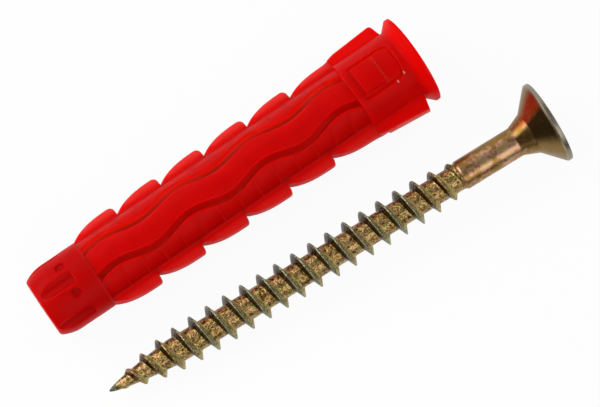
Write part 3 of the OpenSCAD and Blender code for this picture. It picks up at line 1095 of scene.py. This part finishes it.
# %% [markdown]
# ## Threaded core
# A rolled thread is one continuous surface: a helical ridge on a core that runs to a point. So the
# tree starts from a flat grid, whose long side is the turns and whose short side is one pitch, and
# works out where each grid point lies. RIDGE_ROWS is the share of the short side that is ridge, and
# the rest is the valley. The ridge grows behind the point and fades at the shank, and three curves
# say how the core swells, how the ridge grows and how it runs out.
# Neighbouring turns meet exactly, and merging their doubles closes the skin.

# %% Thread measures
thread_pitch = 2.72 * MM
first_crest = 3.05 * MM
ridge_base = 1.15 * MM
thread_sizes = {
    "Turns": 27.0,
    "Pitch": thread_pitch,
    "Start": first_crest - ridge_base / 2 - 3 * thread_pitch,
    "Core radius": 1.85 * MM,
    "Thread radius": 3.05 * MM,
    "Point length": 9.9 * MM,
    "Blunting": 0.28 * MM,
    "Entry length": 16 * MM,
    "Thread end": 55.8 * MM,
    "Ridge base": ridge_base,
    "Ridge edge": 0.12,
}
TURN_STEPS = 56
ROWS = 22
RIDGE_ROWS = 0.68
POINT_CURVE = 0.6
ENTRY_CURVE = 2.7
RUNOUT_CURVE = 0.4


def thread_tree():
    tree = GeometryTree("threaded_core")
    size = {name: tree.input(name) for name in thread_sizes}
    material = tree.input("Material", "Material")
    turns = size["Turns"]
    pitch = size["Pitch"]
    sheet = tree.add("GeometryNodeMeshGrid", {}, {
        "Size X": 1, "Size Y": 1, "Vertices X": int(thread_sizes["Turns"]) * TURN_STEPS + 1,
        "Vertices Y": ROWS})
    spot = tree.add("ShaderNodeSeparateXYZ", {}, {0: tree.add("GeometryNodeInputPosition")})
    turn = (spot + 0.5) * turns
    across = spot.other("Y") + 0.5
    on_ridge = (across / RIDGE_ROWS).at_most(1)
    past_ridge = ((across - RIDGE_ROWS) / (1 - RIDGE_ROWS)).at_least(0)
    offset = on_ridge * size["Ridge base"] + past_ridge * (pitch - size["Ridge base"])
    from_middle = (on_ridge * 2 - 1).size()
    slope = ((1 - from_middle) / (1 - size["Ridge edge"])).share()
    rounded_slope = slope * slope * (3 - 2 * slope)
    ridge = slope * 0.8 + rounded_slope * 0.2
    raw = size["Start"] + turn * pitch + offset
    shank = size["Thread end"] + 0.2 * MM
    blunting = size["Blunting"]
    station = raw.at_least(0 - blunting).at_most(shank)
    along_point = (station + blunting) / (size["Point length"] + blunting)
    core = size["Core radius"] * along_point.at_most(1) ** POINT_CURVE
    entry = (1 - station / size["Entry length"]).share()
    grown = size["Thread radius"] * (1 - entry ** ENTRY_CURVE)
    kept = ((size["Thread end"] - station) / (3 * pitch)).share() ** RUNOUT_CURVE
    height = (grown - core).at_least(0) * kept
    closing = 1 - ((raw - shank) / (pitch * 0.8)).share()
    radius = (core + height * ridge) * closing
    angle = turn * 2 * math.pi
    place = tree.vector(station, radius * angle.cosine(), radius * angle.sine())
    at_point = (1.6 - station / (1.1 * MM)).at_most(0.9)
    worn = (height * ridge / (1.2 * MM)).at_least(at_point)
    # Which way a flank faces, which the zinc paints as dark or bright reflections; pushed to -1 at
    # the point for painted shade there.
    lean = (on_ridge * 2 - 1) * (on_ridge * (1 - on_ridge) * 40).share()
    lean = lean * kept * (station / (7 * MM)).share() - (1 - station / (1.2 * MM)).share()
    skin = sheet
    for name, value in (("height", worn), ("facing_head", lean)):
        skin = tree.add("GeometryNodeStoreNamedAttribute",
                        {"data_type": "FLOAT", "domain": "POINT"},
                        {"Geometry": skin, "Name": name, "Value": value})
    skin = tree.add("GeometryNodeSetPosition", {}, {"Geometry": skin, "Position": place})
    skin = tree.add("GeometryNodeMergeByDistance", {}, {"Geometry": skin, "Distance": 0.003 * MM})
    tree.finish(skin, material)
    return tree


print("grid of", int(thread_sizes["Turns"]) * TURN_STEPS, "by", ROWS, "points")

# %% Threaded core
threaded_core = grow("threaded_core", thread_tree(), {**thread_sizes, "Material": plating})
close_up(threaded_core)
threaded_core.data.transform(screw_place)
smooth_shading(threaded_core, 60)
report(threaded_core)

# %% [markdown]
# ## Shank and head
# Above the thread the blank keeps its drawn diameter, swells into a short throat, and flares into
# the countersunk head with an upright rim. All of it was turned about one axis, so a lathe makes
# it. The cross recess was punched: four wings that narrow with depth.

# %% Shank and head
shank_r = 2.13 * MM
throat_r = 3.05 * MM
head_r = 6 * MM
rim_soft = 0.12 * MM
rim_bottom = SCREW_LEN - 0.6 * MM
throat_end = rim_bottom - 2.7 * MM
throat_start = throat_end - 2.2 * MM
recess_floor = SCREW_LEN - 3.2 * MM
recess_mouth = SCREW_LEN + MM
recess_wing = 0.55 * MM


def head_profile():
    """Stations and radii from the thread's end to the middle of the head's face."""
    start = thread_sizes["Thread end"] - 0.9 * MM
    corners = [(start, 0, 0), (start, 1.6 * MM, 0), (start + 0.9 * MM, shank_r, 0.5 * MM),
               (throat_start, shank_r, 1.2 * MM), (throat_end, throat_r, 0.5 * MM),
               (rim_bottom - 0.3 * MM, head_r - 0.3 * MM, 0),
               (rim_bottom, head_r, rim_soft), (SCREW_LEN, head_r, rim_soft),
               (SCREW_LEN, head_r - 0.4 * MM, 0), (SCREW_LEN, 0, 0)]
    return rounded(corners, 6)


def recess_cutter():
    """Two crossed wedges, like the tip of a driver."""
    wedges = []
    for turn in (45, 135):
        rings = []
        for station, reach, half in ((recess_mouth, 3.3 * MM, recess_wing),
                                     (recess_floor, 1.3 * MM, recess_wing * 0.8)):
            ring = [(-reach, -half), (reach, -half), (reach, half), (-reach, half)]
            rings.append([(station, y, z) for y, z in ring])
        wedge = loft("wedge", rings)
        wedge.data.transform(Matrix.Rotation(math.radians(turn), 4, "X"))
        wedges.append(wedge)
    first, second = wedges
    combine(first, second, "UNION")
    middle = lathe("middle", [(recess_floor - 0.7 * MM, 0), (recess_floor, 1.1 * MM),
                              (recess_mouth, 1.9 * MM), (recess_mouth, 0)], 48)
    combine(first, middle, "UNION")
    return first


screw_head = lathe("shank_and_head", head_profile())
combine(screw_head, recess_cutter(), "DIFFERENCE")
close_up(screw_head)
screw_head.data.transform(screw_place)
smooth_shading(screw_head, 30)
report(screw_head)

# %% [markdown]
# ## Burrs at the window
# Two tiny shreds of flash stand at the window's corner, and their white glints are painted
# highlights, a pale pink in their colour. They are placed by their image points.

# %% Burrs
def burr(name, point, size):
    """A thin curled shred that stands on the sleeve where an image point falls."""
    place, normal = surface_at(point, [sleeve, front_tongue])
    along = Vector((1, 0, 0)).cross(normal).normalized()
    rings = []
    for k in range(7):
        share = k / 6
        arch = normal * size * 0.3 * math.sin(math.pi * share)
        centre = place + arch + along * size * (share - 0.5)
        half = size * 0.22 * math.sin(math.pi * (0.12 + 0.76 * share))
        ring = [(math.cos(math.pi * step / 4), math.sin(math.pi * step / 4)) for step in range(8)]
        rings.append([tuple(centre + Vector((1, 0, 0)) * half * a + normal * half * 0.5 * b)
                      for a, b in ring])
    piece = loft(name, rings)
    smooth_shading(piece, 80)
    return piece


burrs = [burr("window_burr", "burr_bright", 0.5 * MM), burr("small_burr", "burr_small", 0.5 * MM)]
print("burrs", [piece.name for piece in burrs])

# %% [markdown]
# ## Where the surface differs
# Both materials read numbers that are kept at every point of a piece. They are worked out from
# where the point lies: how far out, how deep in a slot, how near to an edge or to the head. Most of
# them place painted light, shade, glows and reflections.

# %% Where light and shade are painted on the nylon
def ramp(value, low, high):
    return min(max((value - low) / (high - low), 0), 1)


def painted_thin_glow_at(point):
    """Painted light, a brighter red where light shines through thin nylon: most in the left fins,
    less in the right ones and in the collar's flare.
    """
    x, y, z = point / MM
    radius = math.hypot(y, z)
    most = 0.7 if y > 0 else 0.5
    fin = most * ramp(abs(y), 4.2, 5.6) * ramp(radius, 4.4, 4.9) if x > nose_top / MM else 0
    return max(fin, 0.6 * ramp(x, -2.2, -1.2))


def painted_wall_glow_at(point, low, high, skin=4.75, full=0.1):
    """Painted glow, 1 on the slots' walls where light comes through the plastic, and less deep
    inside.
    """
    depth = skin - math.hypot(point.y, point.z) / MM
    return ramp(depth, 0, full) * (1 - 0.7 * ramp(depth, low, high))


def painted_window_glow_at(point):
    """The same painted glow on the walls of the sleeve's window and of the tongues in it."""
    if window_start - MM < point.x < window_end + MM:
        return 0.6 * painted_wall_glow_at(point, 0.8, 2, sleeve_r / MM - 0.05, 0.35)
    return 0


pad_end = tongue_root + pad_len


def pad_highlight(point):
    """A painted highlight: a light line at the end of the tongue's pad."""
    on_top = point.yz.length > sleeve_r - 0.05 * MM
    return 0.17 if on_top and abs(point.x - pad_end) < 0.12 * MM else 0


plug_pieces = [*segments.values(), sleeve, nose, front_tongue, back_tongue]
# Painted light in thin nylon: fins and the collar's flare turn a brighter red.
for piece in plug_pieces:
    mark(piece, "thinness", painted_thin_glow_at)
# Painted glow on the slots' walls, fading deeper in, and less on the right side, away from the key
# softbox.
for name, share, low, high in (("front", 1, 0.5, 2.2), ("back", 1, 0.5, 2.2),
                               ("left", 1, 0.9, 1.6), ("right", 0.7, 0.9, 1.6)):
    mark(segments[name + "_segment"], "soaked", lambda point: share * painted_wall_glow_at(point, low, high))
# The same painted glow on the window's walls.
for piece in (sleeve, front_tongue, back_tongue):
    mark(piece, "soaked", painted_window_glow_at)
# Painted glints: the burrs are painted a full pale pink.
for piece in burrs:
    mark(piece, "paleness", lambda point: 4)
# Painted highlights on the sleeve fins' thin edges and a light line at the end of the front tongue's
# pad.
painted_edge_highlights(sleeve, 0.9, fin_end)
mark(front_tongue, "paleness", pad_highlight)
# Painted shade: the nose a deeper red, fading in its last half millimetre.
mark(nose, "dyed", lambda point: 0.6 - 0.3 * ramp(point.x, nose_top - 0.5 * MM, nose_top))
# Painted highlight: a faint light line along the nose's end at the segments.
mark(nose, "paleness",
     lambda point: 0.08 * ramp(point.x, nose_top - 0.3 * MM, nose_top - 0.05 * MM))
print("thin, pale, soaked and thick places are marked")

# %% Where the film differs and where highlight and reflections are painted
screw_pieces = [threaded_core, screw_head]
on_screw = screw_place.inverted()
# The side where the screw's highlight falls, which is painted pinker.
highlight_direction = Vector((0, -0.57, 0.82))


def highlight_side_at(spot):
    return highlight_direction.dot((0, *spot.yz)) / max(spot.yz.length, MM)


def past_throat(spot):
    """0 below the head's cone and 1 on it."""
    return ramp(spot.x, throat_end - 0.4 * MM, throat_end + 0.1 * MM)


# These place the painted dark and red reflections on the head's cone and throat, and the bare rim.
head_marks = {
    "rim": lambda spot: float(spot.x > rim_bottom - rim_soft and spot.yz.length > head_r - 0.3 * MM),
    "lean": lambda spot: spot.y / max(spot.yz.length, MM),
    "cone": lambda spot: past_throat(spot) * float(spot.x < rim_bottom - rim_soft),
    "throat": lambda spot: (ramp(spot.x, throat_start - 0.1 * MM, throat_start)
                            * (1 - past_throat(spot))),
}
for piece in screw_pieces:
    mark(piece, "pinkness", lambda point: highlight_side_at(on_screw @ point))
for name, value_at in head_marks.items():
    mark(screw_head, name, lambda point: value_at(on_screw @ point))
mark(threaded_core, "roughcast", lambda point: 1)
print("marks on the head:", *head_marks)

# %% [markdown]
# ## Pieces to a body
# The four segments bow out at an elbow between their two links. They stay where they are built,
# with their fin teeth, last teeth and ribs, and are tied to no body. All other pieces ride on one
# body. Each new piece then hides the plain CAD nodes that it stands for.

# %% Riding and finishes
def dress(piece, material):
    piece.data.materials.clear()
    piece.data.materials.append(material)


for name, piece in segments.items():
    side = name.split("_")[0]
    links = (side + "_segment_upper", side + "_segment_lower")
    dress(piece, nylon)
    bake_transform(piece)
    if name.endswith("segment"):
        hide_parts(*links)

for piece, body, node in ((sleeve, "plug", "collar_sleeve"), (nose, "plug", "nose_ring"),
                          (front_tongue, "front_tongue", "front_tongue"),
                          (back_tongue, "back_tongue", "back_tongue")):
    dress(piece, nylon)
    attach(piece, body)
    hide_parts(node)

for piece in burrs:
    dress(piece, nylon)
    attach(piece, "plug")

for piece in screw_pieces:
    dress(piece, plating)
    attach(piece, "screw")
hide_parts("screw")
print(len(plug_pieces) + len(screw_pieces) + len(burrs), "pieces ride or bend")

# %% [markdown]
# ## Studio
# Everything lies in a white light tent: a pale floor, a big soft light above and behind, a small
# one from the side and a weaker one from the front. The camera, and what metal mirrors, see pure
# white where there is nothing, while the object itself only gets a plain amount of light. Dark
# cards, which only show in reflections, give the screw's metal its contrast, as in a real studio.

# %% Floor and world
under_collar = 6.58 * MM
under_nose = 5.05 * MM
collar_to_nose = 57.7 * MM
floor_slope = (under_nose - under_collar) / collar_to_nose
floor_size = 400 * MM


def floor_height(x):
    """The surface that carries the collar's rim, the nose and the screw."""
    return floor_slope * (x - rim_start) - under_collar


def sheet(name, low, high, material, height_at):
    """A flat sheet between two (x, y) corners, at the height that height_at gives for x."""
    corners = [low, (high[0], low[1]), high, (low[0], high[1])]
    mesh = bpy.data.meshes.new(name)
    mesh.from_pydata([(x, y, height_at(x)) for x, y in corners], [], [(0, 1, 2, 3)])
    mesh.materials.append(material)
    return add_object(name, mesh)


def seen_directly(nodes):
    """1 for rays from the camera, and for those that metal or glass sends on."""
    path = nodes.add("ShaderNodeLightPath", output="Is Camera Ray")
    return path.at_least(path.other("Is Glossy Ray")).at_least(path.other("Is Transmission Ray"))


def paper():
    material, nodes = new_material("white_paper")
    matt = nodes.add("ShaderNodeBsdfDiffuse", {}, {"Color": (0.86, 0.86, 0.86, 1)})
    white = nodes.add("ShaderNodeEmission", {}, {"Color": (1, 1, 1, 1), "Strength": 1})
    mostly = seen_directly(nodes) * 0.94
    mixed = nodes.add("ShaderNodeMixShader", {}, {0: mostly, 1: matt, 2: white})
    nodes.add("ShaderNodeOutputMaterial", {}, {"Surface": mixed})
    return material


floor = sheet("floor", (-floor_size, -floor_size), (floor_size, floor_size), paper(), floor_height)
world = bpy.data.worlds.new("light_tent")
world.use_nodes = True
world.node_tree.nodes.clear()
sky = NodeMaker(world.node_tree)
shown = sky.add("ShaderNodeBackground", {}, {"Color": (1, 1, 1, 1), "Strength": 1})
lit = sky.add("ShaderNodeBackground", {}, {"Color": (1, 1, 1, 1), "Strength": 0.6})
sky.add("ShaderNodeOutputWorld", {}, {
    "Surface": sky.add("ShaderNodeMixShader", {}, {0: seen_directly(sky), 1: lit, 2: shown})})
bpy.context.scene.world = world
print("floor and world are white")

# %% Lamps and dark cards
middle = Vector((-25, -8, 0)) * MM


def faced(thing, direction, distance):
    """Puts a lamp or a card at a direction from the middle and turns it to face the middle."""
    thing.location = middle + Vector(direction).normalized() * distance * MM
    thing.rotation_euler = (middle - thing.location).to_track_quat("-Z", "Y").to_euler()


def soft_light(name, direction, distance, wide, high, power):
    lamp = bpy.data.lights.new(name, "AREA")
    lamp.shape = "RECTANGLE"
    lamp.size = wide * MM
    lamp.size_y = high * MM
    lamp.energy = power
    faced(add_object(name, lamp), direction, distance)


def only_mirrored(card):
    card.visible_camera = False
    card.visible_diffuse = False
    card.visible_shadow = False


def dark_card(name, direction, distance, wide, high, material):
    """A dark card at a direction from the object."""
    corner = (wide / 2 * MM, high / 2 * MM)
    card = sheet(name, (-corner[0], -corner[1]), corner, material, lambda x: 0)
    faced(card, direction, distance)
    only_mirrored(card)


def floor_card(name, first, second, material):
    """A dark card that lies on the floor between two opposite corners."""
    low, high = [(x * MM, y * MM) for x, y in (first, second)]
    only_mirrored(sheet(name, low, high, material, lambda x: floor_height(x) + 0.05 * MM))


def card_paint(name, grey):
    material, nodes = new_material(name)
    nodes.add("ShaderNodeOutputMaterial", {}, {
        "Surface": nodes.add("ShaderNodeEmission", {}, {"Color": (grey, grey, grey, 1)})})
    return material


black_card = card_paint("black_card", 0.04)
grey_card = card_paint("grey_card", 0.3)
soft_light("key_softbox", (-0.45, 0.55, 0.70), 340, 240, 240, 0.5)
soft_light("side_softbox", (-0.77, 0.29, 0.57), 340, 110, 110, 0.1)
soft_light("front_softbox", (-0.11, -0.81, 0.58), 340, 220, 180, 0.16)
dark_card("card_above", (0, 0, 1), 700, 1000, 1000, grey_card)
dark_card("card_in_front", (0, -1, 0.0), 60, 200, 16, black_card)
dark_card("card_past_the_point", (-1, 0, 0.05), 150, 300, 60, black_card)
floor_card("card_past_the_screw", (-200, -29), (-68, 0), black_card)
floor_card("card_beside_the_thread", (-200, -75), (-25, -29), black_card)
floor_card("card_beside_the_head", (-25, -75), (60, -45), black_card)
bpy.context.scene.view_settings.view_transform = "Standard"
print("three softboxes and six dark cards")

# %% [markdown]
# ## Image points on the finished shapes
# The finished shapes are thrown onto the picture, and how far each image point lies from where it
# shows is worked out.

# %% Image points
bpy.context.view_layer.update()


def seen_vertices(pieces):
    return [shown_at(vertex.co) for piece in pieces for vertex in piece.data.vertices]


plug_view = seen_vertices(plug_pieces)
screw_view = seen_vertices(screw_pieces)


def turned_point(x, turn, radius):
    """A point on the plug at a station, turned from the top towards +Y."""
    return (x, radius * math.sin(turn), radius * math.cos(turn))


pad_turn = math.asin(pad_w / 2 / pad_r)
shown_points = {
    "plug_left": min(plug_view),
    "screw_right": max(screw_view),
    "plug_top": min(plug_view, key=lambda spot: spot[1]),
    "screw_bottom": max(screw_view, key=lambda spot: spot[1]),
    "screw_point": min(screw_view),
    "collar_rim_low": max(plug_view),
    "head_rim_high": min(screw_view, key=lambda spot: spot[1]),
    "pad_near_low": shown_at(turned_point(tongue_root, -pad_turn, pad_r)),
    "pad_far_high": shown_at(turned_point(tongue_root + pad_len, pad_turn, pad_r)),
    "slot_start": shown_at((nose_top, -slot_edge, math.sqrt(flank_r ** 2 - slot_edge ** 2))),
    "dimple": shown_at(turned_point(dimple_x, -dimple_turn, dimple_floor)),
}
for piece, name in zip(burrs, ("burr_bright", "burr_small")):
    spots = seen_vertices([piece])
    shown_points[name] = [sum(part) / len(spots) for part in zip(*spots)]
for name, wanted in IMAGE_POINTS.items():
    shown_spot = shown_points[name]
    [None if goal is None else round(got - goal, 1)
                         for got, goal in zip(shown_spot, wanted)]
